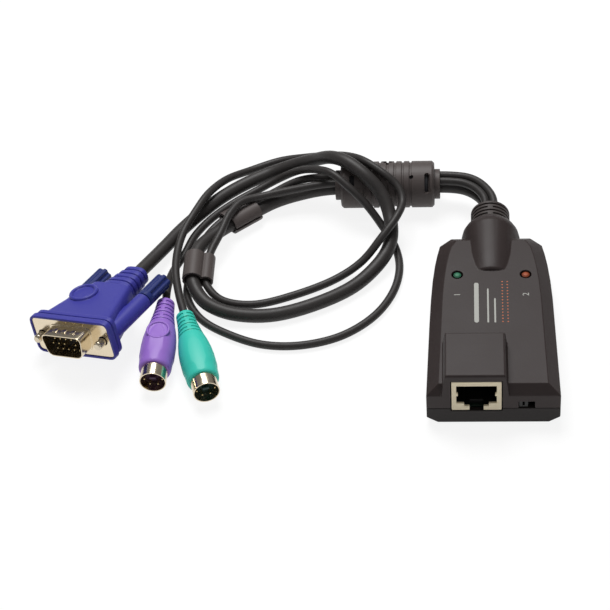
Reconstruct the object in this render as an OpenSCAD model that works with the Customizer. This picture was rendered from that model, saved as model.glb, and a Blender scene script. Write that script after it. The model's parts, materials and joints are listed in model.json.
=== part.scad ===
// Computer adapter module with a network jack, three cords, a ferrite and three plugs.
// Units are millimetres. Z is up, the long axis of the case lies along Y and the jack faces -Y.
// The origin is on the surface under the middle of the case and its strain relief.

/* [Case] */
// Width of the case at its front
case_w = 43; // [42:0.25:46]
// Length of the case without the dome at its rear
case_l = 73; // [72:0.5:78]
// Reach of the dome behind the case
dome_reach = 7.5; // [7:0.1:9]
// Height of the upright side walls
side_h = 12.4; // [12.2:0.1:13]
// Height of the flat top
deck_h = 16; // [15.8:0.1:17]
// Height of the raised block over the jack
block_h = 21.8; // [21.4:0.1:23]
// Height of the joint between the two covers
joint_h = 6.6; // [6.4:0.1:6.8]
// Wall of both covers
wall = 1.8; // [1.5:0.1:2]
// Width of the slope along the sides of the top
bevel_side = 4; // [3.6:0.1:4.4]
// Depth of the slope at the front of the top
bevel_front = 2.3; // [1.9:0.1:2.8]
// Depth of the slope at the rear of the top
bevel_rear = 4.4; // [4:0.1:5]
// Width of the chamfer under the sides
foot_bevel_w = 3.6; // [2.8:0.1:4]
// Height of the chamfer under the sides
foot_bevel_h = 2.4; // [1.8:0.1:2.8]
// Height of the axis of the cord dome
dome_z = 10; // [10:0.1:10.4]
// Widest radius of the cord dome
dome_r = 10; // [9.6:0.1:10]

/* [Jack] */
// Sideways place of the jack
jack_x = -5.4; // [-6:0.1:-5]
// Width of the jack housing
jack_w = 16; // [15.8:0.1:16.2]
// Height of the jack housing
jack_h = 13; // [12.8:0.1:13.2]
// Depth of the jack housing
jack_d = 18; // [17.5:0.5:19]
// Width of the plug cavity
cavity_w = 12.9; // [12.4:0.1:13]
// Height of the plug cavity
cavity_h = 8; // [7.8:0.1:8.2]
// Spacing of the eight contacts
contact_pitch = 1.02; // [1:0.01:1.1]

/* [Board, lights and switch] */
// Thickness of the circuit board
board_t = 1.6; // [1.2:0.1:1.8]
// Height of the lower face of the circuit board
board_z = 4.1; // [4:0.1:4.3]
// Distance of each light from the middle
light_x = 11.4; // [11:0.1:12]
// Diameter of the light lens
light_d = 3; // [2.8:0.1:3.2]
// Sideways place of the switch
switch_x = 10.65; // [10.4:0.05:11.2]
// Travel of the switch slider
slider_travel = 2; // [1.5:0.1:2.2]

/* [Cords and ferrite] */
// Diameter of the video cord
video_d = 4.8; // [4.4:0.1:4.8]
// Diameter of the keyboard and mouse cords
thin_d = 2.8; // [2.4:0.1:2.8]
// Diameter of the strain relief
relief_d = 13.4; // [13:0.1:13.6]
// Reach of the strain relief behind the dome
relief_l = 7.5; // [7:0.1:9]
// Diameter of the ferrite cover
ferrite_d = 16.5; // [16:0.1:16.5]
// Length of the ferrite cover without its collars
ferrite_l = 33; // [31:0.5:33]
// Diameter of the ferrite core
core_d = 13.8; // [13:0.1:14]
// Length of the ferrite core
core_l = 28.5; // [26:0.5:29]

/* [Video plug] */
// Width of the metal face
plate_w = 30.8; // [30.4:0.1:31.2]
// Height of the metal face
plate_h = 12.5; // [12.2:0.1:12.8]
// Width of the D-shaped shell
shell_w = 16.9; // [16.6:0.1:17.2]
// Height of the D-shaped shell
shell_h = 8.4; // [8.3:0.1:8.6]
// Reach of the D-shaped shell
shell_l = 5.9; // [5.6:0.1:6.2]
// Spacing of the two jackscrews
screw_pitch = 25; // [24.8:0.1:25.2]
// Diameter of a jackscrew
screw_d = 2.84; // [2.7:0.02:2.9]
// Distance that a jackscrew slides
screw_slide = 2.5; // [2:0.1:2.8]
// Length of the hood before its ribbed tail
hood_l = 26; // [25:0.5:27]
// Length of the whole plug behind its metal face
video_l = 40.2; // [39.5:0.1:41]

/* [Round plugs] */
// Diameter of the metal shell
din_d = 8.9; // [8.8:0.05:9]
// Reach of the metal shell
din_reach = 5; // [4.6:0.1:5.4]
// Length of the moulded body
din_l = 31.5; // [30:0.5:32]
// Width of the moulded body
din_w = 11.8; // [11.4:0.1:11.8]
// Height of the moulded body across its flats
din_h = 10.8; // [10.4:0.1:11.2]

/* [Hidden] */
$fn = 48;

// Overrun of every cut, thickness of a loft's end slice, and clearances
cut = 1;
slice = 0.02;
fit = 0.15;
loose = 0.3;
running = 0.05;

// Places along the case
front_y = -(case_l + dome_reach + relief_l) / 2;
rear_y = front_y + case_l;
dome_end_y = rear_y + dome_reach;
relief_end_y = dome_end_y + relief_l;

// Plan of the case: its half width falls slowly, then faster, to a chamfered rear corner
taper_share = 0.085;
round_share = 0.15;
plan_shares = [0, 0.25, 0.45, 0.6, 0.72, 0.82, 0.89, 0.95];
tail_share = 0.63;
function half_at(share) = case_w / 2 * (1 - taper_share * share - round_share * pow(share, 6));
function mirrored(points) = concat(points,
    [for (i = [len(points) - 1 : -1 : 0]) [-points[i][0], points[i][1]]]);
// An inset is a list of how far the plan is drawn in at the sides, the front and the rear
flush = [0, 0, 0];
function plan(inset) = mirrored(concat(
    [for (t = plan_shares) [half_at(t) - inset[0], front_y + inset[1] + (case_l - inset[1] - inset[2]) * t]],
    [[case_w / 2 * tail_share - inset[0] / 2, rear_y - inset[2]]]));

// Straight part from z0 to z1, and a slope from there to z2
module lofted(inset, z0, z1, end_inset, z2) {
    hull() {
        translate([0, 0, z0]) linear_extrude(z1 - z0) polygon(plan(inset));
        translate([0, 0, z2 > z1 ? z2 - slice : z2]) linear_extrude(slice) polygon(plan(end_inset));
    }
}

module along_y() { rotate([-90, 0, 0]) children(); }
// Outline in Y and Z, drawn out along X and centred
module across(w) { translate([-w / 2, 0, 0]) rotate([90, 0, 90]) linear_extrude(w) children(); }
module box(x0, x1, y0, y1, z0, z1) { translate([x0, y0, z0]) cube([x1 - x0, y1 - y0, z1 - z0]); }
module rod(r, l) { cylinder(r = r, h = l); }
module pair(x) { for (side = [-1, 1]) translate([side * x, 0, 0]) children(); }

// Corner points of an outline, each rounded by a curve that starts r before the corner
corner_shares = [0, 0.25, 0.5, 0.75, 1];
function toward(a, b, r) = a + (b - a) * min(r / norm(b - a), 0.5);
function rounded(points, r) = [for (i = [0 : len(points) - 1])
    let (p = points[i], a = toward(p, points[(i + len(points) - 1) % len(points)], r),
        b = toward(p, points[(i + 1) % len(points)], r))
    for (t = corner_shares) a * (1 - t) * (1 - t) + p * 2 * t * (1 - t) + b * t * t];
function rectangle(w, h) = [[-w / 2, -h / 2], [w / 2, -h / 2], [w / 2, h / 2], [-w / 2, h / 2]];

// Ribbon of width w along a path, for bent wires and contacts
function heading(path, i) = let (d = path[min(i + 1, len(path) - 1)] - path[max(i - 1, 0)]) d / norm(d);
function beside(path, i, w) = let (d = heading(path, i)) path[i] + [-d[1], d[0]] * w / 2;
function ribbon(path, w) = concat([for (i = [0 : len(path) - 1]) beside(path, i, w)],
    [for (i = [len(path) - 1 : -1 : 0]) beside(path, i, -w)]);

// Dome and hump over the cords: one turned shape about an axis along the case
nose_share = 0.734;
dome_nose_y = front_y + case_l * nose_share;
nose_shares = [[0, 0], [0.08, 0.45], [0.3, 0.75], [1, 1]];
crown_shares = [[0, 0], [0.35, 0.13], [0.65, 0.42], [0.87, 0.75], [1, 1]];
nose_l = 2.8;
nose_rise = 1.6;
crown_l = 6;
rim_lip = 0.4;
rim_r = relief_d / 2 + rim_lip;
function dome_profile(inset, end_y) = let (r0 = deck_h - dome_z) concat(
    [[0, dome_nose_y + inset]],
    [for (s = nose_shares) [r0 + nose_rise * s[1] - inset, dome_nose_y + inset + nose_l * s[0]]],
    [for (s = crown_shares) [dome_r + (rim_r - dome_r) * s[1] - inset, end_y - crown_l * (1 - s[0])]],
    [[0, end_y]]);
module dome() {
    translate([0, 0, dome_z]) along_y() rotate_extrude() polygon(dome_profile(0, dome_end_y));
}
// Hollow of the dome, straight up to the seat of the strain relief's flange
module dome_hollow() {
    profile = concat([for (p = dome_profile(wall, dome_end_y)) if (p[1] < rear_y) p],
        [[dome_r - wall, flange_y], [dome_r - wall, flange_y + flange_l + fit], [0, flange_y + flange_l + fit]]);
    translate([0, 0, dome_z]) along_y() rotate_extrude() polygon(profile);
}

// Screws that close the case, from below
post_r = 4;
boss_r = 3;
shank_r = 1.3;
head_r = 2.3;
head_seat = 2;
screw_top = 10.2;
screw_shares = [[0.64, 0.33], [0.535, 0.835]];
screw_places = [for (s = screw_shares, side = [-1, 1]) [side * case_w / 2 * s[0], front_y + case_l * s[1]]];
module at_screws() { for (p = screw_places) translate([p[0], p[1], 0]) children(); }

// Heights on the board
board_top = board_z + board_t;
jack_top = board_top + jack_h;
jack_recess = 0.2;
jack_front = front_y + jack_recess;
jack_rear = jack_front + jack_d;

// Raised block over the jack, with its margins beside the jack
block_left = 10.2;
block_right = 9.4;
block_l = 19.6;
block_flare = 1;
block_edge = 0.5;
module block_slice(z, grow, h) {
    translate([0, 0, z])
        linear_extrude(h)
            polygon([[jack_x - block_left - grow, front_y + max(0, -grow)],
                [jack_x + block_right + grow, front_y + max(0, -grow)],
                [jack_x + block_right + grow, front_y + block_l + grow],
                [jack_x - block_left - grow, front_y + block_l + grow]]);
}
module block() {
    hull() {
        block_slice(side_h, block_flare, slice);
        block_slice(block_h - block_edge - slice, 0, slice);
        block_slice(block_h - slice, -block_edge, slice);
    }
}

// Window of the jack, cut through both covers, and the pocket behind it
module jack_window() {
    box(jack_x - jack_w / 2 - loose, jack_x + jack_w / 2 + loose, front_y - cut, jack_rear + loose,
        board_top - fit, jack_top + loose);
}

// Slot of the switch
slot_w = 4.9;
slot_h = 3;
knob_w = slot_w - slider_travel;
module switch_slot() {
    box(switch_x - slot_w / 2 - fit, switch_x + slot_w / 2 + fit, front_y - cut, front_y + wall + cut,
        joint_h, joint_h + slot_h);
}

// Lip of the lower cover inside the upper one
lip_h = 1;
lip_w = 0.8;
lip_out = wall - lip_w;

light_share = 0.712;
light_y = front_y + case_l * light_share;
light_gap = 0.35;

module upper_outside() {
    lofted(flush, joint_h, side_h, [bevel_side, bevel_front, bevel_rear], deck_h);
    block();
    intersection() {
        dome();
        box(-case_w, case_w, front_y, dome_end_y, joint_h, deck_h + dome_r);
    }
}

// Ring that holds the strain relief's flange inside the dome
flange_w = 1.2;
flange_l = 1.6;
flange_y = rear_y + 2;

module cord_passage() {
    translate([0, flange_y - cut, dome_z]) along_y() rod(relief_d / 2 + fit, dome_reach + 2 * cut);
    dome_hollow();
}

module top_cover() {
    color([0.3, 0.27, 0.26])
        difference() {
            upper_outside();
            difference() {
                lofted([wall, wall, wall], joint_h - cut, side_h - wall / 2,
                    [bevel_side + wall / 2, bevel_front + wall / 2, bevel_rear + wall / 2], deck_h - wall);
                at_screws() translate([0, 0, board_top]) rod(boss_r, deck_h);
            }
            translate([0, 0, joint_h - cut]) linear_extrude(cut + lip_h + fit)
                difference() {
                    polygon(plan([lip_out - fit / 2, lip_out - fit / 2, lip_out - fit / 2]));
                    polygon(plan([wall, wall, wall]));
                }
            cord_passage();
            jack_window();
            switch_slot();
            at_screws() translate([0, 0, joint_h - cut]) rod(shank_r + running, screw_top + fit - joint_h + cut);
            pair(light_x) translate([0, light_y, board_top]) rod(light_d / 2 + light_gap, block_h);
        }
}

module bottom_cover() {
    foot = [foot_bevel_w, 0, foot_bevel_w];
    floor_inset = [foot_bevel_w + wall / 2, wall, foot_bevel_w + wall / 2];
    color([0.2, 0.18, 0.175])
        difference() {
            union() {
                difference() {
                    union() {
                        lofted(flush, foot_bevel_h, joint_h, foot, 0);
                        intersection() {
                            dome();
                            box(-case_w, case_w, front_y, dome_end_y, 0, joint_h);
                        }
                        translate([0, 0, joint_h - slice]) linear_extrude(lip_h + slice)
                            polygon(plan([lip_out, lip_out, lip_out]));
                    }
                    lofted([wall, wall, wall], foot_bevel_h + wall / 2, block_h, floor_inset, wall);
                }
                at_screws() rod(post_r, board_z);
            }
            translate([0, 0, joint_h]) cord_lip_gap();
            cord_passage();
            jack_window();
            switch_bay();
            at_screws() {
                translate([0, 0, -cut]) rod(head_r + loose, head_seat + cut);
                rod(shank_r + loose, block_h);
            }
        }
}

// The lip stops where the dome and the switch break the side wall
module cord_lip_gap() {
    box(-dome_r - wall, dome_r + wall, rear_y - bevel_rear, rear_y, 0, lip_h + cut);
}
module switch_bay() {
    box(switch_x - slot_w / 2 - wall, switch_x + slot_w / 2 + wall, front_y + lip_out - cut, front_y + wall + cut,
        joint_h, joint_h + lip_h + cut);
}

module case_screws() {
    color([0.55, 0.55, 0.56])
        at_screws() difference() {
            union() {
                translate([0, 0, head_seat - head_l]) rod(head_r, head_l);
                translate([0, 0, head_seat - slice]) rod(shank_r, screw_top - head_seat + slice);
            }
            translate([0, 0, head_seat - head_l]) for (turn = [0, 90]) rotate(turn)
                box(-recess_l / 2, recess_l / 2, -recess_w / 2, recess_w / 2, -cut, recess_h);
        }
}
head_l = 1.5;
recess_l = 2.6;
recess_w = 0.7;
recess_h = 0.9;

board_gap = 0.4;
board_rear_gap = 3.2;
module circuit_board() {
    color([0.1, 0.3, 0.16])
        difference() {
            translate([0, 0, board_z]) linear_extrude(board_t)
                polygon(plan([wall + board_gap, wall + board_gap, board_rear_gap]));
            at_screws() rod(shank_r + loose, block_h);
        }
}

// Square chip with its rows of legs
chip_w = 10;
chip_h = 1.4;
chip_lift = 0.1;
chip_y_share = 0.52;
leg_l = 1.1;
leg_w = 0.35;
leg_t = 0.2;
leg_pitch = 0.8;
legs_a_side = 10;
module main_chip() {
    color([0.13, 0.13, 0.14])
        translate([0, front_y + case_l * chip_y_share, board_top]) {
            translate([0, 0, chip_lift]) linear_extrude(chip_h) polygon(rounded(rectangle(chip_w, chip_w), chip_lift));
            for (turn = [0 : 90 : 270], i = [0 : legs_a_side - 1]) rotate(turn)
                translate([(i - (legs_a_side - 1) / 2) * leg_pitch, chip_w / 2 - slice, 0]) leg();
        }
}
module leg() {
    across(leg_w) polygon(ribbon([[-slice, chip_h / 2], [leg_l / 3, chip_h / 2],
        [leg_l / 2, leg_t / 2], [leg_l, leg_t / 2]], leg_t));
}

// Small parts on the board: places as shares of half the case's width and of its length
small_part = [2, 1.25, 0.9];
small_places_shares = [[0.42, 0.42], [0.42, 0.47], [-0.42, 0.44], [-0.36, 0.62], [0.3, 0.68], [0.5, 0.56],
    [-0.55, 0.56], [0.62, 0.3], [0.42, 0.36]];
can_r = 3.1;
can_h = 5.4;
can_share = [0.5, 0.2];
module at_share(s) { translate([case_w / 2 * s[0], front_y + case_l * s[1], board_top]) children(); }
module board_parts() {
    color([0.72, 0.66, 0.55]) {
        for (s = small_places_shares) at_share(s)
            box(-small_part[0] / 2, small_part[0] / 2, -small_part[1] / 2, small_part[1] / 2, 0, small_part[2]);
        at_share(can_share) {
            rod(can_r, can_h);
            box(-can_r, can_r, -can_r, can_r, 0, small_part[2]);
        }
    }
}

// Header that the cords' wires end in, one chamber for each cord
header_end_y = 26;
header_l = 6;
header_w = 9;
header_h = 9.2;
header_wall = 0.8;
module wire_header() {
    color([0.9, 0.88, 0.82])
        difference() {
            translate([0, header_end_y - header_l, 0])
                box(-header_w / 2, header_w / 2, 0, header_l, board_top, board_top + header_h);
            for (i = [-1 : 1])
                box((i - 0.5) * header_w / 3 + header_wall / 2, (i + 0.5) * header_w / 3 - header_wall / 2,
                    header_end_y - header_l - cut, header_end_y - 2 * header_wall,
                    board_top + header_wall, board_top + header_h / 3);
        }
}

// Jack housing: a lipped cavity with a stepped slot for the plug's latch
cavity_d = 14;
cavity_sill = 3.1;
latch_w = [7.9, 4.5];
latch_drop = [1.3, 3.1];
latch_d = [9, 3];
nub_w = 0.5;
nub_h = 1.3;
nub_z_share = 0.5;
groove_w = 0.6;
groove_h = 0.7;
groove_front = 2.4;
jack_edge = 0.4;
contact_tail = 1.6;
jack_z = board_top;
cavity_top = jack_z + cavity_sill + cavity_h;
module jack_housing() {
    color([0.88, 0.82, 0.7])
        difference() {
            translate([jack_x, jack_front, jack_z]) rotate([90, 0, 0]) translate([0, jack_h / 2, -jack_d])
                linear_extrude(jack_d) polygon(rounded(rectangle(jack_w, jack_h), jack_edge));
            difference() {
                box(jack_x - cavity_w / 2, jack_x + cavity_w / 2, jack_front - cut, jack_front + cavity_d,
                    jack_z + cavity_sill, cavity_top);
                translate([jack_x, 0, jack_z + cavity_sill + cavity_h * nub_z_share]) for (side = [-1, 1])
                    translate([side * cavity_w / 2, 0, 0])
                        box(-nub_w, nub_w, jack_front, jack_front + cavity_d, -nub_h / 2, nub_h / 2);
            }
            for (i = [0, 1])
                box(jack_x - latch_w[i] / 2, jack_x + latch_w[i] / 2, jack_front - cut, jack_front + latch_d[i],
                    jack_z + cavity_sill - latch_drop[i] - (i == 1 ? cut : 0), jack_z + cavity_sill + cut);
            for (i = [0 : 7])
                translate([jack_x + (i - 3.5) * contact_pitch, 0, 0])
                    box(-groove_w / 2, groove_w / 2, jack_front + groove_front, jack_rear - contact_tail + groove_h / 2,
                        cavity_top - cut, cavity_top + groove_h);
            box(jack_x - 3.5 * contact_pitch - groove_w / 2, jack_x + 3.5 * contact_pitch + groove_w / 2,
                jack_rear - contact_tail - groove_h / 2, jack_rear - contact_tail + groove_h / 2,
                jack_z - cut, cavity_top + groove_h);
        }
}

// Eight bent contacts: up the back, forward along the roof, and down into the cavity
contact_t = 0.35;
contact_w = 0.45;
contact_bend = 0.6;
contact_tip_share = [0.62, 0.68];
module jack_contacts() {
    roof = cavity_top + groove_h / 2;
    rear = jack_rear - contact_tail;
    front = jack_front + groove_front + contact_t;
    color([0.85, 0.7, 0.35])
        for (i = [0 : 7])
            translate([jack_x + (i - 3.5) * contact_pitch, 0, 0])
                across(contact_w) polygon(ribbon([[rear, jack_z], [rear, roof - contact_bend],
                    [rear - contact_bend, roof], [front + contact_bend, roof], [front, roof - contact_bend],
                    [front + contact_bend, roof - 2 * contact_bend],
                    [jack_front + cavity_d * contact_tip_share[0], jack_z + cavity_sill + cavity_h * contact_tip_share[1]]],
                    contact_t));
}

// A light: lens, flange and two legs that stand on the board
light_reach = 0.1;
flange_t = 1;
light_l = 5.4;
leg_gap = 2.54;
wire_w = 0.5;
module light() {
    base = deck_h + light_reach - light_l;
    translate([0, light_y, 0]) {
        translate([0, 0, base]) rotate_extrude()
            polygon([[0, 0], [light_d / 2 + light_gap, 0], [light_d / 2 + light_gap, flange_t], [light_d / 2, flange_t],
                [light_d / 2, light_l - light_d / 4], [light_d / 2 * 0.87, light_l - light_d / 8],
                [light_d / 4, light_l - light_d / 40], [0, light_l]]);
        pair(leg_gap / 2) box(-wire_w / 2, wire_w / 2, -wire_w / 2, wire_w / 2, board_top, base + slice);
    }
}
module online_light() { color([0.45, 0.75, 0.45]) translate([-light_x, 0, 0]) light(); }
module power_light() { color([0.8, 0.4, 0.15]) translate([light_x, 0, 0]) light(); }

// Slide switch: a case on the board with a slot, and a slider with two prongs
switch_w = 9;
switch_d = 4;
switch_wall = 0.6;
switch_top = joint_h + slot_h + wall / 3;
plate_t = 0.9;
slider_l = 5.4;
slider_z = joint_h + slot_h / 2;
switch_y = front_y + wall + fit;
module switch_body() {
    color([0.62, 0.62, 0.64])
        difference() {
            box(switch_x - switch_w / 2, switch_x + switch_w / 2, switch_y, switch_y + switch_d, board_top, switch_top);
            box(switch_x - switch_w / 2 + switch_wall, switch_x + switch_w / 2 - switch_wall,
                switch_y + switch_wall, switch_y + switch_wall + plate_t + fit, joint_h - fit, switch_top - switch_wall + fit);
            box(switch_x - slot_w / 2 - fit, switch_x + slot_w / 2 + fit, switch_y - cut, switch_y + switch_wall + cut,
                joint_h, joint_h + slot_h);
        }
}
prong_reach = 0.5;
prong_gap = 0.7;
module switch_slider() {
    rest_x = switch_x - slider_travel / 2;
    knob_h = slot_h - 2 * fit;
    color([0.1, 0.1, 0.1]) {
        box(rest_x - slider_l / 2, rest_x + slider_l / 2, switch_y + switch_wall + fit / 2,
            switch_y + switch_wall + fit / 2 + plate_t, joint_h + fit, joint_h + fit + knob_h);
        difference() {
            box(rest_x - knob_w / 2, rest_x + knob_w / 2, front_y + prong_reach, switch_y + switch_wall + fit,
                joint_h + fit, joint_h + fit + knob_h);
            box(rest_x - prong_gap / 2, rest_x + prong_gap / 2, front_y - cut, switch_y - fit,
                joint_h + knob_h / 3, joint_h + slot_h);
        }
    }
}

// Strain relief: a slit sleeve with a flange behind the dome's rim
relief_bore_r = 4.5;
slit_w = 0.7;
slit_pitch = 1.6;
slit_depth = 1.3;
slits = 5;
bridge_w = 1.8;
module strain_relief() {
    relief_r = relief_d / 2;
    color([0.24, 0.22, 0.21])
        translate([0, 0, dome_z]) along_y() difference() {
            union() {
                translate([0, 0, flange_y]) rod(relief_r + flange_w, flange_l);
                translate([0, 0, flange_y]) rotate_extrude()
                    polygon([[0, 0], [relief_r, 0], [relief_r, relief_end_y - flange_y - slit_w / 2],
                        [relief_r - slit_w / 2, relief_end_y - flange_y], [0, relief_end_y - flange_y]]);
            }
            translate([0, 0, flange_y - cut]) rod(relief_bore_r, dome_reach + relief_l + 2 * cut);
            for (i = [0 : slits - 1]) translate([0, 0, relief_end_y - slit_pitch * (i + 1) - slit_w / 2])
                difference() {
                    rod(relief_r + cut, slit_w);
                    rod(relief_r - slit_depth, slit_w);
                    if (i % 2 == 1) for (turn = [0, 90])
                        rotate(turn) box(-bridge_w / 2, bridge_w / 2, -relief_d, relief_d, -cut, slit_w + cut);
                }
        }
}

// Routes of the three cords, from the header in the case to their plugs
video_route = [[0, 26, 8.5], [0, 44, 8.5], [-1.5, 52, 8.5], [-6.5, 59, 7.5], [-14, 62, 7], [-30, 62, 7],
    [-46, 62, 7], [-58, 62, 6.5], [-68, 61.5, 4.5], [-76.5, 58.5, 3.7], [-84.5, 52.5, 3.7], [-91, 47, 4],
    [-97, 40, 5], [-101.5, 31.5, 6.5], [-102.5, 22, 6.7], [-101.5, 13.5, 6], [-96.5, 6.5, 4.5], [-87, 3, 3],
    [-74, 3, 2.5], [-60, 8, 2.5], [-47, 16.5, 2.5], [-38, 27, 4], [-34.5, 36, 6], [-35, 45, 9],
    [-38, 51.5, 13.5], [-43.5, 56, 18], [-50, 61.5, 19.5], [-56, 66.5, 17.5], [-62.5, 71.5, 12],
    [-70, 74.5, 7], [-79, 74.5, 3.2], [-88, 69.5, 2.5], [-96, 62.5, 2.5], [-103, 54, 2.6], [-109, 45, 3],
    [-113.5, 36, 4], [-117.4, 28.4, 4.9], [-121.8, 19.3, 6.4]];
mouse_route = [[-1.5, 26, 12.5], [-1.5, 44, 12.5], [-2.5, 51, 12.5], [-7, 57.5, 11.5], [-14, 60.4, 10.8],
    [-30, 60.4, 10.8], [-46, 60.4, 10.8], [-58, 60, 10.6], [-70, 59, 9], [-80, 57, 8], [-87.5, 53, 9],
    [-91.5, 46.5, 9], [-94, 38.5, 8], [-97.2, 30, 6.2], [-98, 22.5, 5.7], [-97.4, 15, 5.2], [-91.5, 9.5, 3],
    [-80.5, 9, 1.6], [-67, 13.5, 1.6], [-54, 20.5, 1.7], [-44.5, 26.5, 4.5], [-37.5, 33.5, 9.5],
    [-32.5, 41, 12], [-30.5, 48.5, 12.5], [-32.5, 54, 15], [-38, 58, 18], [-44.5, 63.5, 18.5],
    [-50.5, 70, 15], [-57, 76, 10], [-65.5, 81, 5], [-76, 82.5, 2], [-86.5, 78, 1.6], [-94.5, 70, 4.5],
    [-100, 60, 7], [-104, 50.5, 7], [-107.5, 42, 5.6], [-109, 33, 5], [-108.8, 22, 5], [-106.6, 10.5, 5.2],
    [-103.6, -0.3, 5.5]];
keyboard_route = [[1.5, 26, 12.5], [1.5, 44, 12.5], [0, 52.5, 12.5], [-5.5, 60.5, 11.5], [-14, 63.6, 10.8],
    [-30, 63.6, 10.8], [-46, 63.6, 10.8], [-58, 64, 10.4], [-68, 66, 7], [-78, 63, 3.5], [-87.5, 56.5, 2.6],
    [-94.5, 50.5, 2.4], [-99.5, 43.5, 1.8], [-103, 34, 1.5], [-104.5, 23, 1.5], [-104, 12, 1.5],
    [-98.5, 2, 1.5], [-89, -5, 1.5], [-77, -10, 1.5], [-64, -10.5, 1.5], [-51, -6.5, 1.5], [-40.5, 2, 1.5],
    [-34, 13, 1.5], [-31.5, 25, 1.5], [-33, 36, 1.8], [-38, 44.5, 5], [-43.5, 49.5, 10.5], [-49.5, 53.5, 15],
    [-55.5, 58.5, 17], [-61.5, 63.5, 14.5], [-68, 68, 10], [-75.5, 70, 4.5], [-83, 67, 2], [-91, 61, 1.5],
    [-98.5, 53, 1.5], [-104, 44, 1.5], [-107, 34.5, 1.5], [-110.5, 24.5, 1.8], [-111, 14, 4.6],
    [-110.7, 5.8, 5.5]];
steps_a_stretch = 2;
thick_sides = 10;
thin_sides = 8;
function last(list) = list[len(list) - 1];
function extended(p) = concat([2 * p[0] - p[1]], p, [2 * last(p) - p[len(p) - 2]]);
function blend(a, b, c, d, t) = (2 * b + (c - a) * t + (2 * a - 5 * b + 4 * c - d) * t * t
    + (3 * b - 3 * c + d - a) * t * t * t) / 2;
function smooth(p) = let (q = extended(p), n = steps_a_stretch)
    [for (i = [1 : len(q) - 3], k = [0 : n - 1]) blend(q[i - 1], q[i], q[i + 1], q[i + 2], k / n)];
function centreline(p) = concat(smooth(p), [last(p)]);
function direction(path, i) = let (d = path[min(i + 1, len(path) - 1)] - path[max(i - 1, 0)]) d / norm(d);
function across_of(d) = let (v = cross(d, [0, 0, 1])) v / norm(v);
function ring(path, i, r, sides) = let (d = direction(path, i), u = across_of(d), w = cross(u, d))
    [for (k = [0 : sides - 1]) let (a = 360 * (k + 0.5) / sides) path[i] + r * (cos(a) * u + sin(a) * w)];
module cord(route, d, sides) {
    path = centreline(route);
    rings = len(path);
    points = [for (i = [0 : rings - 1]) each ring(path, i, d / 2, sides)];
    walls = [for (i = [0 : rings - 2], k = [0 : sides - 1])
        [i * sides + k, i * sides + (k + 1) % sides, (i + 1) * sides + (k + 1) % sides, (i + 1) * sides + k]];
    polyhedron(points, concat([[for (k = [sides - 1 : -1 : 0]) k]], walls,
        [[for (k = [0 : sides - 1]) (rings - 1) * sides + k]]));
}
module video_cord() { color([0.22, 0.21, 0.2]) cord(video_route, video_d, thick_sides); }
module keyboard_cord() { color([0.17, 0.16, 0.16]) cord(keyboard_route, thin_d, thin_sides); }
module mouse_cord() { color([0.17, 0.16, 0.16]) cord(mouse_route, thin_d, thin_sides); }

// Ferrite: a ribbed cover with collars, closed round its core
ferrite_x = -36;
ferrite_y = 62;
collar_r = 5.3;
collar_l = 2;
ferrite_bore_r = 4.7;
cover_edge = 0.8;
rib_pitch = 2.7;
rib_gap = 0.8;
rib_depth = 0.5;
ribs = 7;
window_r = 1.7;
window_turns = [30, 150, 270];
module at_ferrite() { translate([ferrite_x, ferrite_y, ferrite_d / 2]) rotate([0, 90, 0]) children(); }
module ferrite_cover() {
    r = ferrite_d / 2;
    half = ferrite_l / 2;
    color([0.33, 0.3, 0.29])
        at_ferrite() difference() {
            union() {
                rotate_extrude() polygon([[0, -half], [r - cover_edge, -half], [r, cover_edge - half],
                    [r, half - cover_edge], [r - cover_edge, half], [0, half]]);
                translate([0, 0, -half - collar_l]) rod(collar_r, ferrite_l + 2 * collar_l);
            }
            translate([0, 0, -half - collar_l - cut]) rod(ferrite_bore_r, ferrite_l + 2 * (collar_l + cut));
            translate([0, 0, -core_l / 2 - fit]) rod(core_d / 2 + fit, core_l + 2 * fit);
            for (i = [0 : ribs - 1]) translate([0, 0, (i - (ribs - 1) / 2) * rib_pitch - rib_gap / 2])
                difference() {
                    rod(r + cut, rib_gap);
                    translate([0, 0, -cut]) rod(r - rib_depth, rib_gap + 2 * cut);
                }
            for (turn = window_turns) rotate(turn) rotate([0, 90, 0]) rod(window_r, r + cut);
        }
}
module ferrite_core() {
    color([0.16, 0.16, 0.17])
        at_ferrite() translate([0, 0, -core_l / 2]) difference() {
            rod(core_d / 2, core_l);
            translate([0, 0, -cut]) rod(ferrite_bore_r, core_l + 2 * cut);
        }
}

// Clips that hold the thick cord and a thin one side by side
clip_wall = 0.8;
clip_fit = 0.45;
clip_slit = 0.8;
module clip(length, gap, drop) {
    thick_r = video_d / 2 + clip_fit;
    thin_r = thin_d / 2 + clip_fit;
    rotate([0, 90, 0]) translate([0, 0, -length / 2]) difference() {
        union() {
            rod(thick_r + clip_wall, length);
            translate([drop, gap, 0]) rod(thin_r + clip_wall, length);
            box(-clip_wall * 2, clip_wall * 2, 0, gap, 0, length);
        }
        translate([0, 0, -cut]) rod(thick_r, length + 2 * cut);
        translate([drop, gap, -cut]) rod(thin_r, length + 2 * cut);
        box(-clip_slit / 2, clip_slit / 2, -thick_r - clip_wall - cut, 0, -cut, length + cut);
    }
}
upper_clip_at = [-87, 50.4, 3.9];
upper_clip_turn = 40;
upper_clip_gap = 5;
upper_clip_drop = 1.3;
upper_clip_l = 11.5;
lower_clip_at = [-102.3, 22, 6.6];
lower_clip_gap = 4.4;
lower_clip_drop = 0.9;
lower_clip_l = 12;
module upper_cord_clip() {
    color([0.33, 0.3, 0.29]) translate(upper_clip_at) rotate(upper_clip_turn)
        clip(upper_clip_l, upper_clip_gap, upper_clip_drop);
}
module lower_cord_clip() {
    color([0.33, 0.3, 0.29]) translate(lower_clip_at) rotate(-90)
        clip(lower_clip_l, lower_clip_gap, lower_clip_drop);
}

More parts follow.
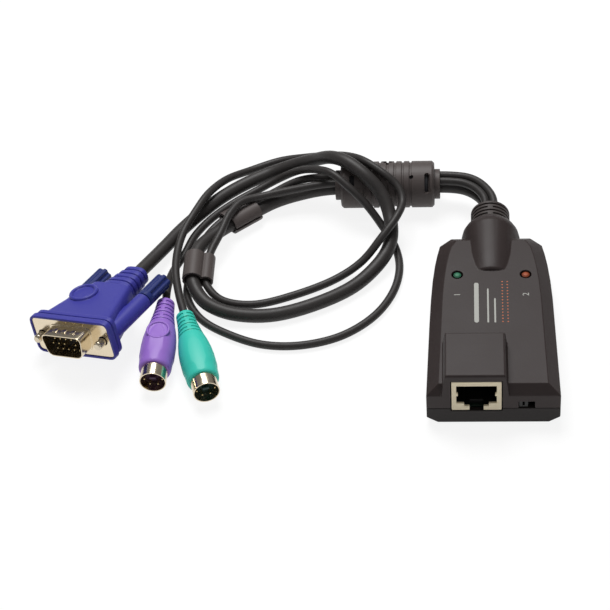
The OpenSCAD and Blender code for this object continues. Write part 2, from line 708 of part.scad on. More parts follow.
// Video plug, in a frame with its metal face at y = 0 and its tail towards +Y
video_turn = [-8.8, -14.7, -23.6];
module at_video_plug() { translate(last(video_route)) rotate(video_turn) translate([0, -video_l, 0]) children(); }
face_t = 0.8;
face_edge = 1.6;
shell_t = 0.4;
shell_slope = 10;
shell_edge = 2.6;
dimple = [1.5, 2.2, 0.35];
dimple_pitch = 3.6;
function d_outline(w, h, edge) = let (s = h * tan(shell_slope)) rounded([[-w / 2, h / 2],
    [s - w / 2, -h / 2], [w / 2 - s, -h / 2], [w / 2, h / 2]], edge);
// A slice of the plug, l long, that starts y behind the metal face
module plug_slice(y, l, points) { translate([0, y + l, 0]) rotate([90, 0, 0]) linear_extrude(l) polygon(points); }
screw_clear_r = screw_d / 2 + loose;
module video_plate() {
    color([0.82, 0.78, 0.7])
        at_video_plug() difference() {
            union() {
                plug_slice(0, face_t, rounded(rectangle(plate_w, plate_h), face_edge));
                plug_slice(-shell_l, shell_l + slice, d_outline(shell_w, shell_h, shell_edge));
                plug_slice(-face_t / 2, face_t, d_outline(shell_w + face_t, shell_h + face_t, shell_edge));
                for (i = [-1 : 1]) translate([i * dimple_pitch, -shell_l / 2, shell_h / 2])
                    box(-dimple[0] / 2, dimple[0] / 2, -dimple[1] / 2, dimple[1] / 2, -shell_t / 2, dimple[2]);
            }
            plug_slice(-shell_l - cut, shell_l + face_t + 2 * cut,
                d_outline(shell_w - 2 * shell_t, shell_h - 2 * shell_t, shell_edge - shell_t));
            pair(screw_pitch / 2) translate([0, -cut, 0]) along_y() rod(screw_clear_r, face_t + 2 * cut);
        }
}
insulator_reach = 0.6;
module video_insulator() {
    color([0.06, 0.06, 0.07])
        at_video_plug() plug_slice(-insulator_reach, insulator_reach + face_t,
            d_outline(shell_w - 2 * shell_t - 2 * running, shell_h - 2 * shell_t - 2 * running, shell_edge - shell_t));
}
// Three rows of pins; the place of pin nine stays empty
pin_r = 0.38;
pin_reach = 5;
pin_pitch = 2.29;
row_pitch = 1.98;
module video_pins() {
    color([0.85, 0.72, 0.4])
        at_video_plug() for (row = [0 : 2], i = [0 : 4])
            if (!(row == 1 && i == 3))
                translate([(i - 2 + (row == 1 ? -0.25 : 0.25)) * pin_pitch, -pin_reach, (1 - row) * row_pitch])
                    along_y() rod(pin_r, pin_reach - insulator_reach);
}

// Hood: a rim round the metal face, a tapered body, a screw tube at each side and a ribbed tail
rim_grow = 2;
rim_edge = 3;
rim_reach = 0.4;
rim_l = 2;
rim_step = 0.8;
ridge_l = 1.8;
hood_grip_w = 29;
hood_grip_h = 12.6;
hood_neck_w = 16;
hood_neck_h = 11;
hood_slope = 2.6;
tube_r = 3;
tube_l = 25;
tail_w = 13.6;
tail_h = 9.6;
tail_end_share = 0.66;
tail_ribs = 5;
tail_rib_share = 0.62;
ring_place = [-5.5, 17.5];
ring_r = 4.4;
ring_t = 0.7;
stop_y = 6;
stop_r = 2.3;
stop_t = 0.8;
module video_hood() {
    tail_l = video_l - hood_l;
    color([0.24, 0.24, 0.62])
        at_video_plug() difference() {
            union() {
                plug_slice(-rim_reach, rim_reach + rim_l,
                    rounded(rectangle(plate_w + rim_grow, plate_h + rim_grow), rim_edge));
                plug_slice(rim_l - slice, rim_step + 2 * slice,
                    rounded(rectangle(plate_w + rim_grow - 2 * rim_step, plate_h + rim_grow - 2 * rim_step), rim_edge));
                plug_slice(rim_l + rim_step, ridge_l,
                    rounded(rectangle(plate_w + rim_grow - rim_step, plate_h + rim_grow - rim_step), rim_edge));
                hull() {
                    plug_slice(rim_l, slice, rounded(rectangle(hood_grip_w, hood_grip_h), hood_slope));
                    plug_slice(hood_l - slice, slice, rounded(rectangle(hood_neck_w, hood_neck_h), hood_slope));
                }
                pair(screw_pitch / 2) translate([0, rim_l, 0]) along_y() rod(tube_r, tube_l - rim_l);
                hull() {
                    plug_slice(hood_l - slice, slice, tail_outline(0, rib_depth));
                    plug_slice(video_l - slice, slice, tail_outline(1, rib_depth));
                }
                for (i = [0 : tail_ribs - 1]) let (pitch = tail_l / tail_ribs)
                    plug_slice(hood_l + pitch * (i + 1 - tail_rib_share), pitch * tail_rib_share,
                        tail_outline((i + 0.5) / tail_ribs, 0));
                translate([ring_place[0], ring_place[1], 0]) {
                    rod(ring_r, hood_grip_h / 2 - ring_t / 4);
                    translate([0, 0, hood_grip_h / 2 - ring_t / 4]) rotate_extrude() translate([ring_r, 0]) circle(ring_t);
                }
            }
            plug_slice(-rim_reach - cut, rim_reach + face_t + cut,
                rounded(rectangle(plate_w + 2 * running, plate_h + 2 * running), face_edge));
            pair(screw_pitch / 2) {
                along_y() rod(screw_clear_r, tube_l + cut);
                translate([0, stop_y - fit, 0]) along_y() rod(stop_r + fit, stop_t + screw_slide + 2 * fit);
            }
        }
}
function tail_outline(share, depth) = let (k = 1 - (1 - tail_end_share) * share)
    rounded(rectangle(tail_w * k - 2 * depth, tail_h * k - 2 * depth), tail_h * k / 2);

// Captive screws with fluted knobs; a ring on each screw stops it in its tube
tip_reach = 3.8;
thread_step = 0.22;
knob_r = 3;
knob_l = 12.8;
flutes = 6;
flute_r = 1;
driver_w = 0.7;
module knob(side) {
    color([0.1, 0.16, 0.42])
        at_video_plug() translate([side * screw_pitch / 2, tube_l + loose, 0]) along_y() difference() {
            rotate_extrude() polygon([[0, 0], [knob_r - fit, 0], [knob_r, loose], [knob_r, knob_l - loose],
                [knob_r - loose, knob_l], [0, knob_l]]);
            translate([0, 0, -cut]) rod(screw_d / 2 - thread_step + running, knob_l + 2 * cut);
            for (i = [0 : flutes - 1]) rotate(360 * (i + 0.5) / flutes)
                translate([knob_r + flute_r / 3, 0, knob_l / 6]) rod(flute_r, knob_l);
        }
}
module jackscrew(side) {
    l = tip_reach + tube_l + loose + knob_l;
    r = screw_d / 2;
    stem = r - thread_step;
    color([0.75, 0.72, 0.66])
        at_video_plug() translate([side * screw_pitch / 2, -tip_reach, 0]) along_y() difference() {
            rotate_extrude() polygon([[0, 0], [r * 0.75, 0], [r, r * 0.4], [r, tip_reach - fit],
                [stem, tip_reach - fit], [stem, l - fit], [0, l - fit]]);
            translate([0, 0, l - fit]) box(-screw_d, screw_d, -driver_w / 2, driver_w / 2, -driver_w, cut);
        }
}
module screw_ring(side) {
    color([0.6, 0.6, 0.6])
        at_video_plug() translate([side * screw_pitch / 2, stop_y, 0]) along_y() difference() {
            rod(stop_r, stop_t);
            translate([0, 0, -cut]) rod(screw_d / 2 - thread_step + running, stop_t + 2 * cut);
        }
}
module left_knob() { knob(-1); }
module left_jackscrew() { jackscrew(-1); }
module left_screw_ring() { screw_ring(-1); }
module right_knob() { knob(1); }
module right_jackscrew() { jackscrew(1); }
module right_screw_ring() { screw_ring(1); }

// Round plugs, in a frame with the body's front at y = 0 and its tail towards +Y
keyboard_turn = [0, 0, -1.6];
mouse_turn = [0, 0, 16.2];
module at_plug(route, turn) { translate(last(route)) rotate(turn) translate([0, -din_l, 0]) children(); }
// Radius shares of half the width, with shares of the body's length
body_shares = [[0.83, 0], [0.9, 0.016], [0.93, 0.04], [0.95, 0.13], [1, 0.19], [1, 0.35], [0.96, 0.45],
    [0.87, 0.56], [0.75, 0.66], [0.64, 0.78], [0.57, 0.88], [0.52, 1]];
groove_shares = [0.64, 0.7, 0.76, 0.82, 0.88, 0.94];
groove_l = 0.8;
groove_depth = 0.45;
groove_bridge = 1.4;
pocket_l = 3;
din_ring_share = 0.448;
din_ring_r = 3.6;
din_ring_t = 0.45;
din_shell_t = 0.35;
din_step = 0.3;
module din_body(has_ring) {
    difference() {
        union() {
            intersection() {
                along_y() rotate_extrude() polygon(concat([[0, 0]],
                    [for (s = body_shares) [din_w / 2 * s[0], din_l * s[1]]], [[0, din_l]]));
                box(-din_w, din_w, -cut, din_l + cut, -din_h / 2, din_h / 2);
            }
            if (has_ring) translate([0, din_l * din_ring_share, 0]) {
                rod(din_ring_r, din_h / 2 - din_ring_t / 2);
                translate([0, 0, din_h / 2 - din_ring_t / 2]) rotate_extrude()
                    translate([din_ring_r, 0]) circle(din_ring_t);
            }
        }
        translate([0, -cut, 0]) along_y() rod(din_d / 2 - din_step + running, pocket_l + cut);
        for (i = [0 : len(groove_shares) - 1]) translate([0, din_l * groove_shares[i], 0]) along_y()
            difference() {
                rod(din_w, groove_l);
                translate([0, 0, -cut]) rod(din_w / 2 * lookup_radius(groove_shares[i]) - groove_depth, groove_l + 2 * cut);
                if (i % 2 == 1) for (turn = [0, 90]) rotate(turn)
                    box(-groove_bridge / 2, groove_bridge / 2, -din_w, din_w, -cut, groove_l + cut);
            }
    }
}
function lookup_radius(share) = lookup(share, [for (s = body_shares) [s[1], s[0]]]);
module din_shell() {
    color([0.84, 0.79, 0.7])
        translate([0, -din_reach, 0]) along_y() difference() {
            union() {
                rod(din_d / 2, din_reach);
                rod(din_d / 2 - din_step, din_reach + pocket_l);
            }
            translate([0, 0, -cut]) rod(din_d / 2 - din_shell_t, din_reach - din_shell_t + cut);
            rod(din_d / 2 - din_step - din_shell_t, din_reach + pocket_l + cut);
        }
}
// Carrier of the pins, with the bar that keys the plug
carrier_depth = 4;
key = [2.2, 1];
key_z = 1;
din_pin_r = 0.45;
din_pin_l = 3.2;
din_pins_share = [[0.33, -0.6], [-0.33, -0.6], [0.74, -0.05], [-0.74, -0.05], [0.55, 0.55], [-0.55, 0.55]];
carrier_r = din_d / 2 - din_shell_t - running;
module din_carrier() {
    translate([0, carrier_depth - din_reach, 0]) along_y() {
        rod(carrier_r, din_reach - carrier_depth - din_shell_t);
        rod(carrier_r - din_step, din_reach + pocket_l - carrier_depth);
    }
    box(-key[0] / 2, key[0] / 2, carrier_depth - din_reach - din_pin_l, carrier_depth - din_reach + slice,
        key_z - key[1] / 2, key_z + key[1] / 2);
}
module din_pins() {
    color([0.85, 0.75, 0.5])
        for (s = din_pins_share) translate([carrier_r * s[0], carrier_depth - din_reach - din_pin_l, carrier_r * s[1]])
            along_y() rod(din_pin_r, din_pin_l);
}
module keyboard_plug_body() { color([0.66, 0.5, 0.84]) at_plug(keyboard_route, keyboard_turn) din_body(true); }
module keyboard_plug_shell() { at_plug(keyboard_route, keyboard_turn) din_shell(); }
module keyboard_plug_insulator() { color([0.2, 0.1, 0.22]) at_plug(keyboard_route, keyboard_turn) din_carrier(); }
module keyboard_plug_pins() { at_plug(keyboard_route, keyboard_turn) din_pins(); }
module mouse_plug_body() { color([0.25, 0.8, 0.7]) at_plug(mouse_route, mouse_turn) din_body(false); }
module mouse_plug_shell() { at_plug(mouse_route, mouse_turn) din_shell(); }
module mouse_plug_insulator() { color([0.05, 0.2, 0.18]) at_plug(mouse_route, mouse_turn) din_carrier(); }
module mouse_plug_pins() { at_plug(mouse_route, mouse_turn) din_pins(); }

bottom_cover();
top_cover();
case_screws();
circuit_board();
main_chip();
board_parts();
wire_header();
jack_housing();
jack_contacts();
online_light();
power_light();
switch_body();
switch_slider();
strain_relief();
video_cord();
keyboard_cord();
mouse_cord();
ferrite_cover();
ferrite_core();
upper_cord_clip();
lower_cord_clip();
video_hood();
video_plate();
video_insulator();
video_pins();
left_knob();
left_jackscrew();
left_screw_ring();
right_knob();
right_jackscrew();
right_screw_ring();
keyboard_plug_body();
keyboard_plug_shell();
keyboard_plug_insulator();
keyboard_plug_pins();
mouse_plug_body();
mouse_plug_shell();
mouse_plug_insulator();
mouse_plug_pins();
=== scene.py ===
# An adapter module for a keyboard, a screen and a mouse, with its three cords laid out beside it.
# The scene is in metres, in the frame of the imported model: Z up, the jack towards -Y. Numbers
# that are multiplied by MM, at once or where they are used, are in millimetres.
import json
import math
import bmesh
import bpy
from mathutils import Matrix, Vector

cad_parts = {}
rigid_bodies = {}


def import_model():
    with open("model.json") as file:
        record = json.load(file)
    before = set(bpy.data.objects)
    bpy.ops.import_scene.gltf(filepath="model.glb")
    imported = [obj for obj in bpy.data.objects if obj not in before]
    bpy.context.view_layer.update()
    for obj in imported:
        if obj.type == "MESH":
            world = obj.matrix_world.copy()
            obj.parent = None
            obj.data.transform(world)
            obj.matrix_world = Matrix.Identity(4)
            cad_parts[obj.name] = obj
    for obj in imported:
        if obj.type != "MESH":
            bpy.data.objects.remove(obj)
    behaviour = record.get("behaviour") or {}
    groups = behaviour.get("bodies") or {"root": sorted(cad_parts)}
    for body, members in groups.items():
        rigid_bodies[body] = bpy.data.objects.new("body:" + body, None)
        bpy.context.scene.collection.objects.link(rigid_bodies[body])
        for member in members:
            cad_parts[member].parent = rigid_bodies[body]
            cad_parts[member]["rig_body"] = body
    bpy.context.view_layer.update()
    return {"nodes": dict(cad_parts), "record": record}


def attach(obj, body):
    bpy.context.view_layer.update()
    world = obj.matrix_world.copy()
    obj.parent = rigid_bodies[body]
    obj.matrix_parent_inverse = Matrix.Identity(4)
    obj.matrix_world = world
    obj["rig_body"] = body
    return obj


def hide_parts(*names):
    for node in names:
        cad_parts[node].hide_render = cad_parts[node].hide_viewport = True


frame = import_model()
MM = 0.001
NODES = frame["nodes"]
ROOT = "module"


# Helpers
def mesh_of(name, bm):
    """A mesh made from an edit mesh, which is freed."""
    mesh = bpy.data.meshes.new(name)
    bm.to_mesh(mesh)
    bm.free()
    return mesh


def linked(name, data):
    made = bpy.data.objects.new(name, data)
    bpy.context.scene.collection.objects.link(made)
    return made


# Camera, fitted to known sizes in the photograph
CAMERA_PLACE = Vector((-0.00702, -0.52005, 0.53316))
CAMERA_RIGHT = Vector((0.997143, 0.046932, -0.059184))
CAMERA_UP = Vector((0.008428, 0.709525, 0.704629))
CAMERA_LENS = 129.87
SENSOR_WIDTH = 36.0


def make_camera():
    camera = linked("camera", bpy.data.cameras.new("camera"))
    back = CAMERA_RIGHT.cross(CAMERA_UP)
    camera.matrix_world = Matrix.Translation(CAMERA_PLACE) @ Matrix(
        (CAMERA_RIGHT, CAMERA_UP, back)).transposed().to_4x4()
    camera.data.lens = CAMERA_LENS
    camera.data.sensor_width = SENSOR_WIDTH
    camera.data.clip_start = 0.01
    camera.data.clip_end = 10
    bpy.context.scene.camera = camera


make_camera()


# Cords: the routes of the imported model, in millimetres, and their tubes
VIDEO_ROUTE = [
    (0, 26, 8.5), (0, 44, 8.5), (-1.5, 52, 8.5), (-6.5, 59, 7.5), (-14, 62, 7), (-30, 62, 7),
    (-46, 62, 7), (-58, 62, 6.5), (-68, 61.5, 4.5), (-76.5, 58.5, 3.7), (-84.5, 52.5, 3.7),
    (-91, 47, 4), (-97, 40, 5), (-101.5, 31.5, 6.5), (-102.5, 22, 6.7), (-101.5, 13.5, 6),
    (-96.5, 6.5, 4.5), (-87, 3, 3), (-74, 3, 2.5), (-60, 8, 2.5), (-47, 16.5, 2.5), (-38, 27, 4),
    (-34.5, 36, 6), (-35, 45, 9), (-38, 51.5, 13.5), (-43.5, 56, 18), (-50, 61.5, 19.5),
    (-56, 66.5, 17.5), (-62.5, 71.5, 12), (-70, 74.5, 7), (-79, 74.5, 3.2), (-88, 69.5, 2.5),
    (-96, 62.5, 2.5), (-103, 54, 2.6), (-109, 45, 3), (-113.5, 36, 4), (-117.4, 28.4, 4.9),
    (-121.8, 19.3, 6.4),
]
MOUSE_ROUTE = [
    (-1.5, 26, 12.5), (-1.5, 44, 12.5), (-2.5, 51, 12.5), (-7, 57.5, 11.5), (-14, 60.4, 10.8),
    (-30, 60.4, 10.8), (-46, 60.4, 10.8), (-58, 60, 10.6), (-70, 59, 9), (-80, 57, 8),
    (-87.5, 53, 9), (-91.5, 46.5, 9), (-94, 38.5, 8), (-97.2, 30, 6.2), (-98, 22.5, 5.7),
    (-97.4, 15, 5.2), (-91.5, 9.5, 3), (-80.5, 9, 1.6), (-67, 13.5, 1.6), (-54, 20.5, 1.7),
    (-44.5, 26.5, 4.5), (-37.5, 33.5, 9.5), (-32.5, 41, 12), (-30.5, 48.5, 12.5),
    (-32.5, 54, 15), (-38, 58, 18), (-44.5, 63.5, 18.5), (-50.5, 70, 15), (-57, 76, 10),
    (-65.5, 81, 5), (-76, 82.5, 2), (-86.5, 78, 1.6), (-94.5, 70, 4.5), (-100, 60, 7),
    (-104, 50.5, 7), (-107.5, 42, 5.6), (-109, 33, 5), (-108.8, 22, 5), (-106.6, 10.5, 5.2),
    (-103.6, -0.3, 5.5),
]
KEYBOARD_ROUTE = [
    (1.5, 26, 12.5), (1.5, 44, 12.5), (0, 52.5, 12.5), (-5.5, 60.5, 11.5), (-14, 63.6, 10.8),
    (-30, 63.6, 10.8), (-46, 63.6, 10.8), (-58, 64, 10.4), (-68, 66, 7), (-78, 63, 3.5),
    (-87.5, 56.5, 2.6), (-94.5, 50.5, 2.4), (-99.5, 43.5, 1.8), (-103, 34, 1.5),
    (-104.5, 23, 1.5), (-104, 12, 1.5), (-98.5, 2, 1.5), (-89, -5, 1.5), (-77, -10, 1.5),
    (-64, -10.5, 1.5), (-51, -6.5, 1.5), (-40.5, 2, 1.5), (-34, 13, 1.5), (-31.5, 25, 1.5),
    (-33, 36, 1.8), (-38, 44.5, 5), (-43.5, 49.5, 10.5), (-49.5, 53.5, 15), (-55.5, 58.5, 17),
    (-61.5, 63.5, 14.5), (-68, 68, 10), (-75.5, 70, 4.5), (-83, 67, 2), (-91, 61, 1.5),
    (-98.5, 53, 1.5), (-104, 44, 1.5), (-107, 34.5, 1.5), (-110.5, 24.5, 1.8), (-111, 14, 4.6),
    (-110.7, 5.8, 5.5),
]
VIDEO_CORD = 4.8 * MM
THIN_CORD = 2.8 * MM
STEPS_A_STRETCH = 8
CORD_SIDES = 28


def smooth_route(route):
    """Points of the smooth curve through a route given in millimetres."""
    p = [Vector(q) * MM for q in route]
    p = [2 * p[0] - p[1]] + p + [2 * p[-1] - p[-2]]
    points = []
    for a, b, c, d in zip(p, p[1:], p[2:], p[3:]):
        for k in range(STEPS_A_STRETCH):
            t = k / STEPS_A_STRETCH
            points.append((2 * b + (c - a) * t + (2 * a - 5 * b + 4 * c - d) * t * t
                + (3 * b - 3 * c + d - a) * t ** 3) / 2)
    return points + [p[-2]]


def new_object(name, mesh, body=ROOT):
    piece = linked(name, mesh)
    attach(piece, body)
    return piece


def tube_mesh(name, path, radius, sides):
    """A closed tube round a path, and its length."""
    bm = bmesh.new()
    along = bm.loops.layers.uv.new("along")
    rings = []
    side = None
    for i, p in enumerate(path):
        ahead = (path[min(i + 1, len(path) - 1)] - path[max(i - 1, 0)]).normalized()
        if side is None:
            side = ahead.cross(Vector((0, 0, 1)))
        else:
            side -= ahead * ahead.dot(side)
        # Once more, because single precision leaves a rest
        side = (side - ahead * side.dot(ahead)).normalized()
        up = side.cross(ahead)
        turns = [math.tau * k / sides for k in range(sides)]
        rings.append([bm.verts.new(p + radius * (side * math.cos(a) + up * math.sin(a)))
            for a in turns])
    reach = 0.0
    for i in range(len(rings) - 1):
        step = (path[i + 1] - path[i]).length
        for k in range(sides):
            n = (k + 1) % sides
            face = bm.faces.new((rings[i][k], rings[i][n], rings[i + 1][n], rings[i + 1][k]))
            face.smooth = True
            corners = ((k, reach), (k + 1, reach), (k + 1, reach + step), (k, reach + step))
            for loop, uv in zip(face.loops, corners):
                loop[along].uv = (uv[0] / sides, uv[1])
        reach += step
    bm.faces.new(rings[0][::-1])
    bm.faces.new(rings[-1])
    bmesh.ops.recalc_face_normals(bm, faces=bm.faces)
    return mesh_of(name, bm), reach


def lay_cord(name, node, route, diameter):
    """A cord's tube; the route's second point is where the cord leaves the strain relief."""
    path = smooth_route(route)
    mesh, length = tube_mesh(name, path, diameter / 2, CORD_SIDES)
    piece = new_object(name, mesh)
    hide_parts(node)
    return piece


cords = {
    "video": lay_cord("video_jacket", "video_cord", VIDEO_ROUTE, VIDEO_CORD),
    "keyboard": lay_cord("keyboard_jacket", "keyboard_cord", KEYBOARD_ROUTE, THIN_CORD),
    "mouse": lay_cord("mouse_jacket", "mouse_cord", MOUSE_ROUTE, THIN_CORD),
}


# Shader graphs written as expressions
class Value:
    """A shader socket that adds Math nodes when it is used in an expression."""

    def __init__(self, graph, socket):
        self.graph = graph
        self.socket = socket

    def _math(self, operation, a, b):
        return self.graph.node("ShaderNodeMath", {"operation": operation}, {0: a, 1: b})

    def __add__(self, other): return self._math("ADD", self, other)
    def __radd__(self, other): return self._math("ADD", other, self)
    def __sub__(self, other): return self._math("SUBTRACT", self, other)
    def __rsub__(self, other): return self._math("SUBTRACT", other, self)
    def __mul__(self, other): return self._math("MULTIPLY", self, other)
    def __truediv__(self, other): return self._math("DIVIDE", self, other)
    def __pow__(self, other): return self._math("POWER", self, other)
    def __gt__(self, other): return self._math("GREATER_THAN", self, other)
    def clamped(self): return self.graph.node("ShaderNodeClamp", {}, {"Value": self})


class Graph:
    """A material's node tree; node() adds a node, sets it, feeds it and returns one output."""

    def __init__(self, name):
        self.material = bpy.data.materials.new(name)
        self.material.use_nodes = True
        self.tree = self.material.node_tree
        self.shader = self.tree.nodes["Principled BSDF"]
        self.place = self.node("ShaderNodeTexCoord", {}, {}, "Object")

    def node(self, kind, settings, inputs, output=0):
        made = self.tree.nodes.new(kind)
        for key, value in settings.items():
            setattr(made, key, value)
        for key, value in inputs.items():
            self.feed(made.inputs[key], value)
        return Value(self, made.outputs[output])

    def feed(self, socket, value):
        if isinstance(value, Value):
            self.tree.links.new(value.socket, socket)
        else:
            socket.default_value = value

    def set(self, **values):
        for key, value in values.items():
            self.feed(self.shader.inputs[key.replace("_", " ")], value)

    def noise(self, scale, detail=2.0, roughness=0.5):
        return self.node("ShaderNodeTexNoise", {}, {"Vector": self.place, "Scale": scale,
            "Detail": detail, "Roughness": roughness}, "Fac")

    def mix(self, factor, a, b):
        return self.node("ShaderNodeMix", {"data_type": "RGBA"}, {0: factor, 6: a, 7: b}, 2)

    def bump(self, height, strength, distance):
        return self.node("ShaderNodeBump", {}, {"Height": height, "Strength": strength,
            "Distance": distance}, "Normal")

    def split(self):
        """The X, Y and Z of a place on the piece."""
        made = self.tree.nodes.new("ShaderNodeSeparateXYZ")
        self.feed(made.inputs[0], self.place)
        return [Value(self, made.outputs[i]) for i in range(3)]


def linear(r, g, b):
    """A colour given as screen values from 0 to 255."""
    return tuple((c / 255 / 12.92 if c / 255 <= 0.04045 else ((c / 255 + 0.055) / 1.055) ** 2.4)
        for c in (r, g, b)) + (1.0,)


def shade(colour, k):
    return tuple(min(1.0, c * k) for c in colour[:3]) + (1.0,)


CLOUD_SCALE = 60
SPECK_SHARE = 0.3
# How far the roughness varies over moulded plastic, metal and a cord's jacket
CLOUDED_GLOSS = 0.12
SMEARED_GLOSS = 0.2
SCUFFED_GLOSS = 0.18
# Heights of the fine reliefs
GRAIN_RISE = 0.2 * MM
FINE_RISE = 0.1 * MM


def moulded(name, colour, grain, depth, roughness, change, specular):
    """Moulded plastic: a fine eroded grain, faint clouds of colour, and a slightly varied gloss."""
    g = Graph(name)
    clouds = g.noise(CLOUD_SCALE, detail=3)
    speck = g.noise(grain * 2)
    tone = (clouds * (1 - SPECK_SHARE) + speck * SPECK_SHARE).clamped()
    pits = g.noise(grain, detail=3, roughness=0.6)
    g.set(Base_Color=g.mix(tone, shade(colour, 1 - change), shade(colour, 1 + change)),
        Roughness=(roughness - CLOUDED_GLOSS / 2 + clouds * CLOUDED_GLOSS).clamped(),
        Specular_IOR_Level=specular, Normal=g.bump(pits, depth, GRAIN_RISE))
    return g.material


def metal(name, colour, roughness):
    """Plated metal with faint smears in its gloss."""
    g = Graph(name)
    smear = g.noise(240, detail=4, roughness=0.65)
    fine = g.noise(2600)
    g.set(Base_Color=g.mix(smear, shade(colour, 0.9), shade(colour, 1.06)), Metallic=1.0,
        Roughness=(roughness + (smear - 0.5) * SMEARED_GLOSS).clamped(),
        Normal=g.bump(fine, 0.05, FINE_RISE))
    return g.material


def jacket(name, colour, roughness):
    """A cord's jacket: satin vinyl with fine scuffs and a slow change of tone along it."""
    g = Graph(name)
    slow = g.noise(55)
    scuff = g.noise(700, detail=4, roughness=0.7)
    tone = (slow * 0.6 + scuff * 0.4).clamped()
    g.set(Base_Color=g.mix(tone, shade(colour, 0.78), shade(colour, 1.2)),
        Roughness=(roughness + (scuff - 0.5) * SCUFFED_GLOSS).clamped(), Specular_IOR_Level=0.35,
        Normal=g.bump(scuff, 0.1, GRAIN_RISE))
    return g.material


# Distance of each light from the deck's middle and its place along the deck
LIGHT_PLACE = (11.4 * MM, 7.976 * MM)
LENS_R = 1.3 * MM
# Painted shade: the near-black ring round each lens stands for the shaded gap of its recess
PAINTED_GAP_SHADE = (8, 8, 8)


def lens(name, colour, side):
    """A dull lens with a painted highlight, and painted shade in the gap round it, on the left (-1)
    or on the right (1) of the deck.
    """
    g = Graph(name)
    x, y = g.split()[:2]
    away = ((x - side * LIGHT_PLACE[0]) ** 2 + (y - LIGHT_PLACE[1]) ** 2) ** 0.5
    middle = (1 - away / LENS_R).clamped()
    painted_gap_mask = away > LENS_R
    # Painted light on the lens: a painted highlight in its middle and painted shade towards its rim
    painted_dome_light = g.mix(middle, shade(colour, 0.5), shade(colour, 1.3))
    g.set(Base_Color=g.mix(painted_gap_mask, painted_dome_light, linear(*PAINTED_GAP_SHADE)),
        Roughness=(0.42 + g.noise(900) * 0.1).clamped(), Specular_IOR_Level=0.25,
        Normal=g.bump(g.noise(1500), 0.04, FINE_RISE))
    return g.material


# Front face of the jack, and how deep its pale frame goes before the painted shade of its inside
# begins
JACK_FACE = -43.8 * MM
FRAME_DEPTH = 0.7 * MM
PALE_FRAME = ((250, 234, 200), (255, 242, 212))
# Painted shade: the inside of the jack is coloured near black for the shade in its cavity
PAINTED_SHADE_INSIDE = (9, 8, 8)


def jack_moulding():
    """The jack: a pale frame at its face, and painted shade over its inside behind it."""
    g = Graph("jack_plastic")
    y = g.split()[1]
    clouds = g.noise(80, detail=3)
    pale = g.mix(clouds, *(linear(*colour) for colour in PALE_FRAME))
    inside = y > JACK_FACE + FRAME_DEPTH
    g.set(Base_Color=g.mix(inside, pale, linear(*PAINTED_SHADE_INSIDE)),
        Roughness=(0.36 + clouds * 0.1).clamped(), Specular_IOR_Level=0.4,
        Normal=g.bump(g.noise(500, detail=3), 0.05, GRAIN_RISE))
    return g.material


MOULDED = {
    # slot: (colour, scale of the grain, its depth, roughness, change of tone, specular level)
    "cover_plastic": ((49, 40, 39), 900, 0.12, 0.5, 0.12, 0.28),
    "base_plastic": ((36, 31, 30), 900, 0.12, 0.5, 0.12, 0.25),
    "board_laminate": ((14, 34, 24), 300, 0.1, 0.4, 0.12, 0.4),
    "chip_plastic": ((36, 36, 38), 900, 0.12, 0.5, 0.12, 0.4),
    "small_parts": ((190, 176, 150), 400, 0.1, 0.4, 0.12, 0.4),
    "header_plastic": ((232, 228, 214), 500, 0.05, 0.4, 0.04, 0.4),
    "slider_plastic": ((22, 20, 20), 700, 0.1, 0.42, 0.12, 0.4),
    "relief_rubber": ((66, 59, 57), 800, 0.12, 0.58, 0.12, 0.4),
    "ferrite_moulding": ((80, 72, 70), 800, 0.14, 0.52, 0.12, 0.4),
    "ferrite_ceramic": ((42, 42, 46), 1200, 0.2, 0.7, 0.12, 0.4),
    "blue_moulding": ((60, 60, 158), 900, 0.08, 0.45, 0.06, 0.4),
    "dark_blue_knob": ((28, 44, 112), 900, 0.08, 0.42, 0.08, 0.4),
    "purple_moulding": ((158, 115, 210), 900, 0.08, 0.45, 0.04, 0.4),
    "dark_purple": ((60, 34, 62), 900, 0.08, 0.5, 0.12, 0.4),
    "green_moulding": ((60, 208, 188), 900, 0.08, 0.45, 0.05, 0.4),
    "dark_green": ((10, 52, 48), 900, 0.08, 0.5, 0.12, 0.4),
    "black_insulator": ((20, 16, 18), 900, 0.08, 0.5, 0.12, 0.4),
    "dot_print": ((206, 110, 66), 900, 0.05, 0.6, 0.05, 0.4),
    "pale_print": ((176, 176, 170), 900, 0.05, 0.6, 0.05, 0.4),
}
METALS = {
    # slot: (colour, roughness)
    "screw_steel": ((170, 170, 172), 0.32),
    # The switch's metal is coloured near black as painted shade, for the deep slot it shows in
    "switch_metal": ((34, 33, 33), 0.4),
    "nickel_shell": ((226, 212, 186), 0.2),
    "screw_nickel": ((210, 198, 176), 0.25),
    "gold_contact": ((220, 198, 148), 0.25),
}
JACKETS = {
    # slot: (colour, roughness)
    "thick_jacket": ((53, 50, 49), 0.48),
    "thin_jacket": ((50, 47, 46), 0.48),
}
LENSES = {
    # slot: (colour, side of the deck)
    "green_lens": ((52, 118, 88), -1),
    "orange_lens": ((156, 74, 40), 1),
}
MATERIALS = {"jack_plastic": jack_moulding()}
for maker, looks in ((moulded, MOULDED), (metal, METALS), (jacket, JACKETS), (lens, LENSES)):
    for slot, (colour, *look) in looks.items():
        MATERIALS[slot] = maker(slot, linear(*colour), *look)


def give(piece, slot):
    """Gives the piece the slot's material."""
    piece.data.materials.clear()
    piece.data.materials.append(MATERIALS[slot])


for part in frame["record"]["subparts"]:
    node = NODES[part["node"]]
    material = MATERIALS[part["material_slot"]]
    if not node.material_slots:
        node.data.materials.append(material)
    for material_slot in node.material_slots:
        material_slot.material = material
give(cords["video"], "thick_jacket")
give(cords["keyboard"], "thin_jacket")
give(cords["mouse"], "thin_jacket")


